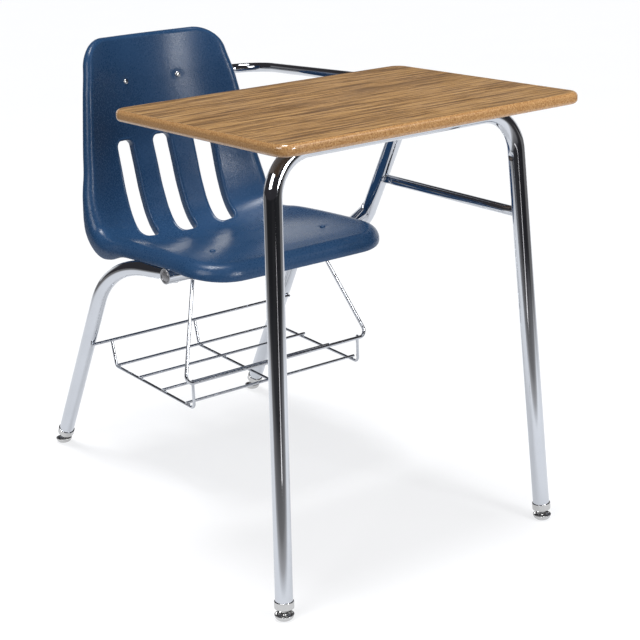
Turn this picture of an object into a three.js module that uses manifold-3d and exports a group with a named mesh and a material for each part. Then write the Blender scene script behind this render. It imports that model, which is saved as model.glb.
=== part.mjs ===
// Student desk chair: one-arm writing desk joined to a plastic shell seat with a wire book basket.
// Millimetres, +Z up. The user faces -Y, the support arm is on the +X side.
import * as THREE from 'three';
import { mergeVertices } from 'three/addons/utils/BufferGeometryUtils.js';
import Module from 'manifold-3d';

const wasm = await Module();
wasm.setup();

// ---- main dimensions -------------------------------------------------------------------
const GAP = 0.3;                       // clearance left between pieces that are welded or pressed
const DESK = { x: 609.6, y: 457.2, t: 19, top: 762, edge: 7, corner: 26 };
const TUBE_R = 14.3;                   // 1-1/8 in frame tube
const TUBE_WALL = 1.7;
const RAIL_R = 8.7;                    // side rail
const BRACE_R = 9.5;                   // 3/4 in back brace
const THIN_WALL = 1.4;
const SEAT_X = 85;                     // centre plane of the seat, off to one side of the desk
const REAR_HALF = 232.5;               // rear legs either side of the seat centre, at the knee
const REAR_SPLAY = 3.5;                // extra half spread at the floor
const REAR_RAKE = THREE.MathUtils.degToRad(28.3);
const BALL_Z = 6.5;                    // swivel centre of every glide above the floor
const REAR_FOOT_Y = 758.9;
const FRONT_FOOT = { x: 284.7, y: -159.7 };
const FRONT_TOP = { x: 246.9, y: -125.5, z: DESK.top - DESK.t - GAP - TUBE_R };
const CROSS_Y = 366;
const CROSS_Z = 422;
const ARM_TOP = new THREE.Vector3(286.7, 177.5, 712);
const CROSS_END = new THREE.Vector3(-134, CROSS_Y, CROSS_Z);
const ARM_LOW = new THREE.Vector3(344.7, 397, 412);
const SHELL_T = 4.5;

// shell rows from the front edge to the top of the back:
// crest line y and z, crest half width, dish depth, dish power, lip radius, lip skirt
const SHELL_ROWS = [
  [258, 455, 190, 1, 3.5, 23, 6],
  [295, 458.5, 192, 3, 3.5, 24, 3],
  [350, 460.5, 193, 7, 3.5, 23.5, 1],
  [400, 460, 193, 12, 3.5, 23.5, 1],
  [460, 458.5, 193, 20, 3.4, 24, 1],
  [520, 455.5, 193, 26, 3.2, 24, 4],
  [565, 450.5, 193, 29, 3, 23, 13],
  [592, 451.5, 193.5, 30, 2.8, 21.5, 17],
  [614, 463, 194, 31, 2.6, 20, 16],
  [626, 482, 195, 33, 2.5, 18, 12],
  [634, 502, 195, 34, 2.4, 16, 7],
  [641, 525, 192, 36, 2.3, 15, 5],
  [648, 560, 186, 39, 2.3, 13, 5],
  [655, 600, 181, 44, 2.3, 12, 5],
  [664, 655, 172, 46, 2.3, 12, 4],
  [675, 717, 162, 46, 2.3, 11, 4],
  [684, 752, 154, 42, 2.3, 11, 4],
  [699, 804, 147, 35, 2.3, 10, 3],
];
const FRONT_CORNER = 56;
const TOP_CORNER = 44;
const TOP_CROWN = 6;
const SLOT_X = 90;                     // spacing of the three slots in the back
const SLOT_SHIFT = 4;
const SLOT_HALF = 20;
const SLOT_CORNER = 12;
const FLANGE = { t: 2.8, depth: 17 };  // turned-back edge all round each slot

// ---- small tools -----------------------------------------------------------------------
const V = (x, y, z) => new THREE.Vector3(x, y, z);
const group = new THREE.Group();
group.name = 'student_desk_chair';

const COLORS = {
  chrome: [0xc9ccd1, 0.95, 0.16],
  nickel: [0xa9adb2, 0.9, 0.32],
  wood: [0xb98a55, 0, 0.45],
  plastic: [0x26426e, 0, 0.5],
  cap: [0x8e9297, 0.3, 0.5],
};

function addMesh(name, geometry, finish) {
  const [color, metalness, roughness] = COLORS[finish];
  const mesh = new THREE.Mesh(geometry, new THREE.MeshStandardMaterial({ color, metalness, roughness }));
  mesh.name = name;
  group.add(mesh);
}

// Path through corner points with a bend radius at each inner corner.
class BentPath extends THREE.Curve {
  constructor(corners, radii, bendSteps = 6) {
    super();
    this.stations = [];
    this.tangents = [];
    corners.forEach((corner, i) => {
      const before = i > 0 ? corner.clone().sub(corners[i - 1]).normalize() : null;
      const after = i < corners.length - 1 ? corners[i + 1].clone().sub(corner).normalize() : null;
      if (before === null || after === null) {
        this.push(corner.clone(), (after ?? before).clone());
        return;
      }
      this.bend(corner, before, after, radii[i - 1], bendSteps);
    });
  }

  push(point, tangent) {
    this.stations.push(point);
    this.tangents.push(tangent);
  }

  bend(corner, before, after, radius, steps) {
    const angle = before.angleTo(after);
    const reach = radius * Math.tan(angle / 2);
    const start = corner.clone().addScaledVector(before, -reach);
    const side = after.clone().addScaledVector(before, -after.dot(before)).normalize();
    for (let k = 0; k <= steps; k += 1) {
      const t = (angle * k) / steps;
      const point = start.clone()
        .addScaledVector(before, radius * Math.sin(t))
        .addScaledVector(side, radius * (1 - Math.cos(t)));
      const tangent = before.clone().multiplyScalar(Math.cos(t)).addScaledVector(side, Math.sin(t));
      this.push(point, tangent);
    }
  }

  get steps() {
    return this.stations.length - 1;
  }

  getPointAt(u) {
    return this.stations[Math.round(u * this.steps)].clone();
  }

  getPoint(u) {
    return this.getPointAt(u);
  }

  getTangentAt(u) {
    return this.tangents[Math.round(u * this.steps)].clone();
  }

  getSpacedPoints() {
    return this.stations.map((point) => point.clone());
  }
}

function disc(radius, sides) {
  const points = [];
  for (let k = 0; k < sides; k += 1) {
    const t = (2 * Math.PI * (k + 0.5)) / sides;
    points.push(new THREE.Vector2(radius * Math.cos(t), radius * Math.sin(t)));
  }
  return points;
}

function sweep(path, radius, wall, sides) {
  const shape = new THREE.Shape(disc(radius, sides));
  if (wall > 0) {
    shape.holes.push(new THREE.Path(disc(radius - wall, sides).reverse()));
  }
  return new THREE.ExtrudeGeometry(shape, { steps: path.steps, extrudePath: path, bevelEnabled: false });
}

// Squeeze a straight tube end along one direction, as a press does before welding.
function pressEnd(geometry, end, inward, across, length, factor) {
  const position = geometry.attributes.position;
  const point = new THREE.Vector3();
  for (let i = 0; i < position.count; i += 1) {
    point.fromBufferAttribute(position, i);
    const along = point.clone().sub(end).dot(inward);
    if (along < length) {
      const t = THREE.MathUtils.smoothstep(along, length * 0.35, length);
      const squeeze = THREE.MathUtils.lerp(factor, 1, t);
      const off = point.clone().sub(end).dot(across);
      point.addScaledVector(across, off * (squeeze - 1));
      position.setXYZ(i, point.x, point.y, point.z);
    }
  }
  return geometry;
}

function toSolid(geometry) {
  const bare = geometry.clone();
  bare.deleteAttribute('normal');
  bare.deleteAttribute('uv');
  const merged = mergeVertices(bare, 1e-4);
  return new wasm.Manifold(new wasm.Mesh({
    numProp: 3,
    vertProperties: new Float32Array(merged.attributes.position.array),
    triVerts: new Uint32Array(merged.index.array),
  }));
}

function fromSolid(solid) {
  const mesh = solid.getMesh();
  const geometry = new THREE.BufferGeometry();
  geometry.setAttribute('position', new THREE.BufferAttribute(new Float32Array(mesh.vertProperties), 3));
  geometry.setIndex(new THREE.BufferAttribute(new Uint32Array(mesh.triVerts), 1));
  geometry.computeVertexNormals();
  return geometry;
}

function cut(geometry, cutters, additions = []) {
  let solid = toSolid(geometry);
  additions.forEach((addition) => {
    solid = solid.add(toSolid(addition));
  });
  cutters.forEach((cutter) => {
    solid = solid.subtract(toSolid(cutter));
  });
  return fromSolid(solid);
}

function lathe(profile, sides, origin, axis) {
  const geometry = new THREE.LatheGeometry(profile.map(([r, h]) => new THREE.Vector2(r, h)), sides);
  const turn = new THREE.Quaternion().setFromUnitVectors(V(0, 1, 0), axis.clone().normalize());
  geometry.applyQuaternion(turn);
  geometry.translate(origin.x, origin.y, origin.z);
  return geometry;
}

// ---- writing surface -------------------------------------------------------------------
function roundedRectangle(width, depth, radius) {
  const shape = new THREE.Shape();
  const [w, d, r] = [width / 2, depth / 2, radius];
  shape.moveTo(-w + r, -d);
  shape.lineTo(w - r, -d);
  shape.absarc(w - r, -d + r, r, -Math.PI / 2, 0, false);
  shape.lineTo(w, d - r);
  shape.absarc(w - r, d - r, r, 0, Math.PI / 2, false);
  shape.lineTo(-w + r, d);
  shape.absarc(-w + r, d - r, r, Math.PI / 2, Math.PI, false);
  shape.lineTo(-w, -d + r);
  shape.absarc(-w + r, -d + r, r, Math.PI, 1.5 * Math.PI, false);
  return shape;
}

const topShape = roundedRectangle(DESK.x - 2 * DESK.edge, DESK.y - 2 * DESK.edge, DESK.corner - DESK.edge);
const topGeometry = new THREE.ExtrudeGeometry(topShape, {
  depth: DESK.t - 2 * DESK.edge,
  bevelEnabled: true,
  bevelThickness: DESK.edge,
  bevelSize: DESK.edge,
  bevelSegments: 4,
  curveSegments: 6,
});
topGeometry.translate(0, 0, DESK.top - DESK.t + DESK.edge);
addMesh('work_surface', topGeometry, 'wood');

// ---- glides ----------------------------------------------------------------------------
// ball: swivel centre; axis: up the leg; reach: ball centre to the underside of the cup
function addGlide(tag, ball, axis, reach) {
  const cupR = TUBE_R + GAP + 1.3;
  const bore = TUBE_R + GAP;
  addMesh(`glide_cup_${tag}`, lathe([
    [4.3, reach], [cupR - 1, reach], [cupR, reach + 1], [cupR, reach + 12.5], [bore, reach + 12.5],
    [bore, reach + 1.6], [4.3, reach + 1.6], [4.3, reach],
  ], 16, ball, axis), 'nickel');
  const flange = reach - 5.8;
  addMesh(`glide_stud_${tag}`, lathe([
    [0, -4.5], [2.4, -3.8], [4, -2.1], [4.5, 0], [4, 2.1], [3, 3.4], [3, flange], [6, flange + 0.6],
    [6, reach - GAP], [3.9, reach - GAP], [3.9, reach + 13], [0, reach + 13],
  ], 12, ball, axis), 'nickel');
  addMesh(`glide_base_${tag}`, lathe([
    [0, 0], [7.5, 0], [11.4, 1.4], [14.2, 4.2], [15.6, 7.6], [15.75, 9.8], [14.8, 9.8], [13.7, 6.6],
    [11, 4.2], [7.6, 3.4], [7.2, 6.8], [5, 6.8], [5, 1.6], [0, 1.6],
  ], 20, V(ball.x, ball.y, 0), V(0, 0, 1)), 'nickel');
}

// ---- front leg frame -------------------------------------------------------------------
function frontBall(side) {
  return V(side * FRONT_FOOT.x, FRONT_FOOT.y, BALL_Z);
}
function frontCorner(side) {
  return V(side * FRONT_TOP.x, FRONT_TOP.y, FRONT_TOP.z);
}
const FRONT_REACH = 12.5;
const REAR_REACH = 18;
const frontAxis = (side) => frontCorner(side).sub(frontBall(side)).normalize();
const frontEnd = (side) => frontBall(side).addScaledVector(frontAxis(side), FRONT_REACH + 2.2);
const frontPath = new BentPath([frontEnd(-1), frontCorner(-1), frontCorner(1), frontEnd(1)], [72, 72]);
addMesh('front_leg_frame', sweep(frontPath, TUBE_R, TUBE_WALL, 16), 'chrome');
addGlide('front_right', frontBall(-1), frontAxis(-1), FRONT_REACH);
addGlide('front_left', frontBall(1), frontAxis(1), FRONT_REACH);

// ---- support tube: cross part under the seat and the arm up to the desk -------------------
const supportPath = new BentPath([CROSS_END, ARM_LOW, ARM_TOP], [52], 8);
addMesh('support_tube', sweep(supportPath, TUBE_R, TUBE_WALL, 16), 'chrome');
const capR = TUBE_R - TUBE_WALL - GAP;
addMesh('support_tube_cap', lathe([
  [0, -1.2], [capR - 1.4, -1.2], [capR, -0.4], [capR, 8], [0, 8],
], 16, CROSS_END, ARM_LOW.clone().sub(CROSS_END)), 'cap');
const supportCutter = sweep(supportPath, TUBE_R + GAP, 0, 16);

// ---- rear legs --------------------------------------------------------------------------
const KNEE_Z = 418;
function rearLine(side, z) {
  const splay = REAR_SPLAY * (1 - (z - BALL_Z) / (KNEE_Z - BALL_Z));
  const x = SEAT_X + side * (REAR_HALF + splay);
  return V(x, REAR_FOOT_Y - (z - BALL_Z) * Math.tan(REAR_RAKE), z);
}
function addRearLeg(tag, side, upper, radii) {
  const ball = rearLine(side, BALL_Z);
  const rearAxis = rearLine(side, KNEE_Z).sub(ball).normalize();
  const foot = ball.clone().addScaledVector(rearAxis, REAR_REACH + 2.2);
  const path = new BentPath([foot, rearLine(side, KNEE_Z), ...upper], radii, 6);
  const tube = sweep(path, TUBE_R, TUBE_WALL, 16);
  addMesh(`rear_leg_${tag}`, cut(tube, [supportCutter]), 'chrome');
  addGlide(`rear_${tag}`, ball, rearAxis, REAR_REACH);
}
const armAt = (z) => ARM_LOW.clone().lerp(ARM_TOP, (z - ARM_LOW.z) / (ARM_TOP.z - ARM_LOW.z));
addRearLeg('right', -1, [CROSS_END.clone().lerp(ARM_LOW, 0.055)], [160]);
addRearLeg('left', 1, [V(SEAT_X + REAR_HALF + 4, 408, 423), armAt(468)], [160, 50]);

// ---- side rail from the arm to the front leg ----------------------------------------------
const FRONT_RISE = FRONT_TOP.z - BALL_Z;
const frontLegAt = (side, z) => frontBall(side).lerp(frontCorner(side), (z - BALL_Z) / FRONT_RISE);
const railFrom = armAt(539.5);
const railTo = frontLegAt(1, 554);
const railSteps = [0, 0.16, 0.9, 1].map((share) => railFrom.clone().lerp(railTo, share));
const railPath = new BentPath(railSteps, [1, 1], 1);
const railDir = railTo.clone().sub(railFrom).normalize();
const railAcross = V(1, 0, 0).addScaledVector(railDir, -railDir.x).normalize();
let railTube = sweep(railPath, RAIL_R, THIN_WALL, 14);
railTube = pressEnd(railTube, railFrom, railDir, railAcross, 56, 0.45);
railTube = pressEnd(railTube, railTo, railDir.clone().negate(), railAcross, 44, 0.6);
const frontCutter = sweep(frontPath, TUBE_R + GAP, 0, 16);
addMesh('side_rail', cut(railTube, [supportCutter, frontCutter]), 'chrome');

// ---- back brace under the desk and round behind the shell -----------------------------------
const braceZ = DESK.top - DESK.t - GAP - BRACE_R;
const braceCorners = [V(285, -104, braceZ), V(287, 250, braceZ), V(352, 735, 706), V(-8, 737.6, 711)];
const bracePath = new BentPath(braceCorners, [260, 70], 7);
addMesh('back_brace', sweep(bracePath, BRACE_R, THIN_WALL, 14), 'chrome');
function addBraceCap(name, at, towards) {
  const r = BRACE_R - THIN_WALL - GAP;
  addMesh(name, lathe([
    [0, -2], [BRACE_R - 2, -1.6], [BRACE_R, -GAP], [r, -GAP], [r, 7], [0, 7],
  ], 14, at, towards.clone().sub(at)), 'cap');
}
addBraceCap('back_brace_cap_front', braceCorners[0], braceCorners[1]);
addBraceCap('back_brace_cap_rear', braceCorners[3], braceCorners[2]);

// ---- seat shell ------------------------------------------------------------------------------
const crestCurve = new THREE.CatmullRomCurve3(SHELL_ROWS.map(([y, z]) => V(0, y, z)), false, 'centripetal');
const CREST_LENGTH = crestCurve.getLength();
const rowStations = SHELL_ROWS.map((row, i) => {
  const points = crestCurve.getPoints((SHELL_ROWS.length - 1) * 20).slice(0, i * 20 + 1);
  return points.slice(1).reduce((sum, point, k) => sum + point.distanceTo(points[k]), 0);
});

function rowValue(column, s) {
  const at = THREE.MathUtils.clamp(s, 0, rowStations.at(-1));
  let i = rowStations.findIndex((station) => station >= at);
  i = Math.max(1, i);
  const t = THREE.MathUtils.smoothstep(at, rowStations[i - 1], rowStations[i]);
  const linear = (at - rowStations[i - 1]) / (rowStations[i] - rowStations[i - 1]);
  return THREE.MathUtils.lerp(SHELL_ROWS[i - 1][column], SHELL_ROWS[i][column], 0.5 * (t + linear));
}

// side-view frame of the crest line: point, tangent and the normal towards the sitter
function crestFrame(s) {
  const u = THREE.MathUtils.clamp(s / CREST_LENGTH, 0, 1);
  const point = crestCurve.getPointAt(u);
  const tangent = crestCurve.getTangentAt(u);
  point.addScaledVector(tangent, s - u * CREST_LENGTH);
  return { point, tangent, normal: V(0, -tangent.z, tangent.y) };
}

function cornerInset(distance, radius) {
  if (distance >= radius) {
    return 0;
  }
  return radius - Math.sqrt(Math.max(0, radius * radius - (radius - distance) ** 2));
}

function halfWidth(s) {
  const inset = cornerInset(s, FRONT_CORNER) + cornerInset(CREST_LENGTH - s, TOP_CORNER);
  return rowValue(2, s) - inset;
}

function dish(s, a) {
  const share = Math.min(1, Math.abs(a) / rowValue(2, s));
  return -rowValue(3, s) * (1 - share ** rowValue(4, s));
}

// s along the seat and back, a across, b towards the sitter from the dished surface
function shellPoint(s, a, b) {
  const top = THREE.MathUtils.smoothstep(s, CREST_LENGTH - 120, CREST_LENGTH);
  const share = a / rowValue(2, s);
  const crown = TOP_CROWN * top * Math.min(1.2, share * share);
  const frame = crestFrame(s);
  const point = frame.point.clone().addScaledVector(frame.normal, dish(s, a) + b);
  point.addScaledVector(frame.tangent, -crown);
  return V(SEAT_X + a, point.y, point.z);
}

const COLUMNS = 14;
const rowS = [];
const SEAT_ROWS = 28;
for (let j = 0; j <= SEAT_ROWS; j += 1) {
  rowS.push((CREST_LENGTH * j) / SEAT_ROWS);
}
[4, 12, 24].forEach((offset) => {
  rowS.push(offset, CREST_LENGTH - offset);
});
rowS.sort((a, b) => a - b);
const rows = rowS.filter((s, i) => i === 0 || s - rowS[i - 1] > 3);

function gridPoint(i, j, b) {
  const u = (2 * i) / COLUMNS - 1;
  const eased = Math.sign(u) * (1 - (1 - Math.abs(u)) ** 1.25);
  const s = rows[j];
  return { s, a: eased * halfWidth(s), b };
}

// boundary loop of the grid, counter-clockwise seen from the sitter's side
const loop = [];
for (let i = 0; i < COLUMNS; i += 1) {
  loop.push([i, 0]);
}
for (let j = 0; j < rows.length - 1; j += 1) {
  loop.push([COLUMNS, j]);
}
for (let i = COLUMNS; i > 0; i -= 1) {
  loop.push([i, rows.length - 1]);
}
for (let j = rows.length - 1; j > 0; j -= 1) {
  loop.push([0, j]);
}

function loopOutward(k) {
  const before = loop[(k + loop.length - 1) % loop.length];
  const after = loop[(k + 1) % loop.length];
  const p = gridPoint(before[0], before[1], 0);
  const q = gridPoint(after[0], after[1], 0);
  const length = Math.hypot(q.s - p.s, q.a - p.a);
  return { s: -(q.a - p.a) / length, a: (q.s - p.s) / length };
}

const LIP_STEPS = 4;
function lipPoint(k, step, inner) {
  const [i, j] = loop[k];
  const base = gridPoint(i, j, 0);
  const out = loopOutward(k);
  const radius = rowValue(5, base.s);
  const skirt = rowValue(6, base.s);
  const r = inner ? radius - SHELL_T : radius;
  const t = (Math.PI / 2) * Math.min(1, step / LIP_STEPS);
  const down = step > LIP_STEPS ? skirt : 0;
  const e = r * Math.sin(t);
  const b = -radius + r * Math.cos(t) - down;
  const frame = crestFrame(base.s);
  const start = shellPoint(base.s, base.a, b);
  start.x += out.a * e;
  start.addScaledVector(V(0, frame.tangent.y, frame.tangent.z), out.s * e);
  return start;
}

function buildShell() {
  const points = [];
  const triangles = [];
  const put = (point) => points.push(point) - 1;
  const face = [];
  const back = [];
  rows.forEach((s, j) => {
    face.push([]);
    back.push([]);
    for (let i = 0; i <= COLUMNS; i += 1) {
      const at = gridPoint(i, j, 0);
      face[j].push(put(shellPoint(at.s, at.a, 0)));
      back[j].push(put(shellPoint(at.s, at.a, -SHELL_T)));
    }
  });
  const quad = (a, b, c, d) => triangles.push(a, b, c, a, c, d);
  for (let j = 0; j < rows.length - 1; j += 1) {
    for (let i = 0; i < COLUMNS; i += 1) {
      quad(face[j][i], face[j][i + 1], face[j + 1][i + 1], face[j + 1][i]);
      quad(back[j][i], back[j + 1][i], back[j + 1][i + 1], back[j][i + 1]);
    }
  }
  const ring = (step, inner) => loop.map(([i, j], k) => {
    if (step === 0) {
      return inner ? back[j][i] : face[j][i];
    }
    return put(lipPoint(k, step, inner));
  });
  const band = (lower, upper) => {
    loop.forEach((_, k) => {
      const next = (k + 1) % loop.length;
      quad(lower[k], lower[next], upper[next], upper[k]);
    });
  };
  let outer = ring(0, false);
  let inside = ring(0, true);
  for (let step = 1; step <= LIP_STEPS + 1; step += 1) {
    const nextOuter = ring(step, false);
    const nextInside = ring(step, true);
    band(nextOuter, outer);
    band(inside, nextInside);
    outer = nextOuter;
    inside = nextInside;
  }
  band(inside, outer);
  const geometry = new THREE.BufferGeometry();
  geometry.setAttribute('position', new THREE.Float32BufferAttribute(points.flatMap((p) => p.toArray()), 3));
  geometry.setIndex(triangles);
  return geometry;
}

// A strip that follows the shell, for a slot or for the turned-back edge round it.
function slotStrip(centre, from, to, width, high, low) {
  const steps = 18;
  const corner = SLOT_CORNER + width - SLOT_HALF;
  const points = [];
  const triangles = [];
  for (let j = 0; j <= steps; j += 1) {
    const t = (1 - Math.cos((Math.PI * j) / steps)) / 2;
    const s = THREE.MathUtils.lerp(from, to, t);
    const room = Math.min(s - from, to - s);
    const half = room < corner
      ? width - corner + Math.sqrt(Math.max(0.05, corner ** 2 - (corner - room) ** 2))
      : width;
    [[-half, high], [half, high], [half, low], [-half, low]].forEach(([a, b]) => {
      points.push(shellPoint(s, centre + a, b));
    });
  }
  const quad = (a, b, c, d) => triangles.push(a, b, c, a, c, d);
  for (let j = 0; j < steps; j += 1) {
    for (let k = 0; k < 4; k += 1) {
      const next = (k + 1) % 4;
      quad(4 * j + k, 4 * j + next, 4 * j + 4 + next, 4 * j + 4 + k);
    }
  }
  quad(3, 2, 1, 0);
  quad(4 * steps, 4 * steps + 1, 4 * steps + 2, 4 * steps + 3);
  const geometry = new THREE.BufferGeometry();
  geometry.setAttribute('position', new THREE.Float32BufferAttribute(points.flatMap((p) => p.toArray()), 3));
  geometry.setIndex(triangles);
  return geometry;
}

// s where the dished surface at offset a reaches a height, searched on the back or on the seat
function stationAtHeight(a, z, from, to) {
  let best = from;
  for (let s = from; s <= to; s += 0.5) {
    if (Math.abs(shellPoint(s, a, 0).z - z) < Math.abs(shellPoint(best, a, 0).z - z)) {
      best = s;
    }
  }
  return best;
}

const bendS = rowStations[8];
const slotEnds = [-1, 0, 1].map((side) => {
  const a = SLOT_SHIFT + side * SLOT_X;
  return [a, rowStations[7] + 10, stationAtHeight(a, 605.5, bendS, CREST_LENGTH)];
});
const flangeStrips = slotEnds.map(([a, from, to]) => slotStrip(
  a, from - FLANGE.t, to + FLANGE.t, SLOT_HALF + FLANGE.t, -1.5, -FLANGE.depth));
const shellCutters = slotEnds.map(([a, from, to]) => slotStrip(a, from, to, SLOT_HALF, 6, -FLANGE.depth - 5));

// rivets: two through the back into the brace, two through the seat
function rivetFrame(s, a) {
  const point = shellPoint(s, a, 0);
  const ahead = shellPoint(s + 2, a, 0).sub(point);
  const aside = shellPoint(s, a + 2, 0).sub(point);
  return { point, normal: aside.cross(ahead).normalize() };
}

const RECESS = 1;                      // shallow seat for a rivet head in the plastic
const SADDLE = { a: 126, front: 76, half: 15, t: 2.2 };
function addRivet(name, s, a, end) {
  const { point, normal } = rivetFrame(s, a);
  const seat = GAP - RECESS;
  const head = [[2.4, seat], [5.4, seat], [5.1, 0.9], [3.6, 2], [0, 2.4]];
  addMesh(name, lathe([...end, ...head], 12, point, normal), 'nickel');
  const hole = [[0, -16], [2.8, -16], [2.8, -RECESS], [6.1, -RECESS], [6.1, 8], [0, 8]];
  return lathe(hole, 12, point, normal);
}

const backS = stationAtHeight(60, 715, bendS, CREST_LENGTH);
const backEnd = [[0, -8.2], [2.4, -8.2]];
shellCutters.push(addRivet('back_rivet_right', backS, -60, backEnd));
shellCutters.push(addRivet('back_rivet_left', backS, 60, backEnd));

// saddles that straddle the cross tube and carry the seat on one rivet each
const crossAt = (x) => CROSS_END.clone().lerp(ARM_LOW, (x - CROSS_END.x) / (ARM_LOW.x - CROSS_END.x));
const saddleTop = -SHELL_T - GAP;
const saddleLow = saddleTop - SADDLE.t;
const shellBody = buildShell();
const loweredShell = shellBody.clone().translate(0, 0, -GAP);
const TAIL = { r: 4.4, shank: 2.4, t: 2.4 };
const tailEnd = [
  [0, saddleLow - TAIL.t], [TAIL.r, saddleLow - TAIL.t],
  [TAIL.r, saddleLow - GAP], [TAIL.shank, saddleLow - GAP],
];
function addSaddle(tag, side) {
  const a = side * SADDLE.a;
  const tube = crossAt(SEAT_X + a);
  const to = tube.y - SHELL_ROWS[0][0] + TUBE_R + 5;
  const plate = slotStrip(a, SADDLE.front, to, SADDLE.half, saddleTop, saddleLow);
  const legs = [-1, 1].map((way) => {
    const leg = new THREE.BoxGeometry(1.6 * SADDLE.half, SADDLE.t, 44);
    return leg.translate(SEAT_X + a, tube.y + way * (TUBE_R + GAP + SADDLE.t / 2), tube.z + 16);
  });
  const rivetHole = addRivet(`seat_rivet_${tag}`, SADDLE.front + 14, a, tailEnd);
  shellCutters.push(rivetHole);
  const clearance = slotStrip(a, -60, to + 120, 20, 40, saddleTop);
  const cutters = [clearance, loweredShell, supportCutter, rivetHole];
  addMesh(`seat_saddle_${tag}`, cut(plate, cutters, legs), 'chrome');
}
addSaddle('right', -1);
addSaddle('left', 1);

addMesh('seat_shell', cut(shellBody, shellCutters, flangeStrips), 'plastic');

// ---- book basket --------------------------------------------------------------------------------
const WIRE = { hanger: 3.4, rear: 2.9, cross: 2.8, floor: 2.75 };
const BASKET_HALF = 193;
const rearWireZ = 240.5;
const rearWireY = rearLine(1, rearWireZ).y - (TUBE_R + GAP + WIRE.rear) / Math.cos(REAR_RAKE);
const wire = (corners, radii, r) => sweep(new BentPath(corners, radii, 3), r, 0, 8);
const legEdge = REAR_HALF + 6;
addMesh('basket_wire_rear', wire([V(SEAT_X - legEdge, rearWireY, rearWireZ),
  V(SEAT_X + legEdge, rearWireY, rearWireZ)], [], WIRE.rear), 'chrome');

const hangerLow = (side) => V(SEAT_X + side * 213, 329, 225);
const hangerTop = (side) => crossAt(SEAT_X - 3 + side * 155).add(V(0, 0, -TUBE_R - GAP - 1.5));
addMesh('basket_hanger', wire([hangerTop(-1), hangerLow(-1), hangerLow(1), hangerTop(1)], [13, 13],
  WIRE.hanger), 'chrome');

const floorZ = (y) => 174 + (y - 344) * 0.062;
const crossFront = hangerLow(1).y + WIRE.hanger + GAP + WIRE.cross;
const crossBack = rearWireY;
['right', 'middle', 'left'].forEach((tag, k) => {
  const x = SEAT_X + (k - 1) * BASKET_HALF;
  addMesh(`basket_wire_cross_${tag}`, wire([
    V(x, crossBack, rearWireZ - WIRE.rear - GAP),
    V(x, crossBack - 11, floorZ(crossBack - 11)),
    V(x, crossFront, floorZ(crossFront)),
    V(x, crossFront, hangerLow(1).z + 3),
  ], [9, 9], WIRE.cross), 'chrome');
});
[591, 512, 433, 354].forEach((y, k) => {
  const z = floorZ(y) + WIRE.cross + GAP + WIRE.floor;
  const reach = BASKET_HALF + 5;
  addMesh(`basket_wire_floor_${k + 1}`, wire([V(SEAT_X - reach, y, z), V(SEAT_X + reach, y, z)], [],
    WIRE.floor), 'chrome');
});

// ---- set the origin under the centre of the whole -------------------------------------------------
const box = new THREE.Box3().setFromObject(group);
const centre = box.getCenter(new THREE.Vector3());
group.children.forEach((mesh) => {
  mesh.geometry.translate(-centre.x, -centre.y, -box.min.z);
});

export default group;
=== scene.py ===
import math

import bmesh
import bpy
import numpy as np
from mathutils import Matrix, Vector


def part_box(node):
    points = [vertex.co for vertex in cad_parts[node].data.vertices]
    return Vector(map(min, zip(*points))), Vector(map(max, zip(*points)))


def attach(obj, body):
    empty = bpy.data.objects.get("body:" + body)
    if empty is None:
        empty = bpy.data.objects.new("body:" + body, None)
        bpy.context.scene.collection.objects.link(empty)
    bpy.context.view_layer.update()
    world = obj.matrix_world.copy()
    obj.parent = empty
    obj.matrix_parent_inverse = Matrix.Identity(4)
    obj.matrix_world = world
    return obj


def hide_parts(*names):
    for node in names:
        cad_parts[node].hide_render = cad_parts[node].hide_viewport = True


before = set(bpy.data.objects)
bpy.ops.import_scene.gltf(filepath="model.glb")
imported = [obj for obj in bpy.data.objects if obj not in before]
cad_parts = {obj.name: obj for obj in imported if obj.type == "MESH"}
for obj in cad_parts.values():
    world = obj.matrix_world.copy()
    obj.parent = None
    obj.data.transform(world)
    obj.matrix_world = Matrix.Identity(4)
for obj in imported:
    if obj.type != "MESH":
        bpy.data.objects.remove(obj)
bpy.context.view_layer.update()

# Lengths below are millimetres in a frame whose origin is under the centre of the writing surface.
TOP_LOW, TOP_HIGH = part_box("work_surface")
SHIFT = np.array([(TOP_LOW[0] + TOP_HIGH[0]) / 2, (TOP_LOW[1] + TOP_HIGH[1]) / 2, 0.0])


def to_row(points):
    return np.asarray(points, float) / 1000 + SHIFT


def V(x, y, z):
    return np.array([x, y, z], float)


def unit(v):
    return v / np.linalg.norm(v)


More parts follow.
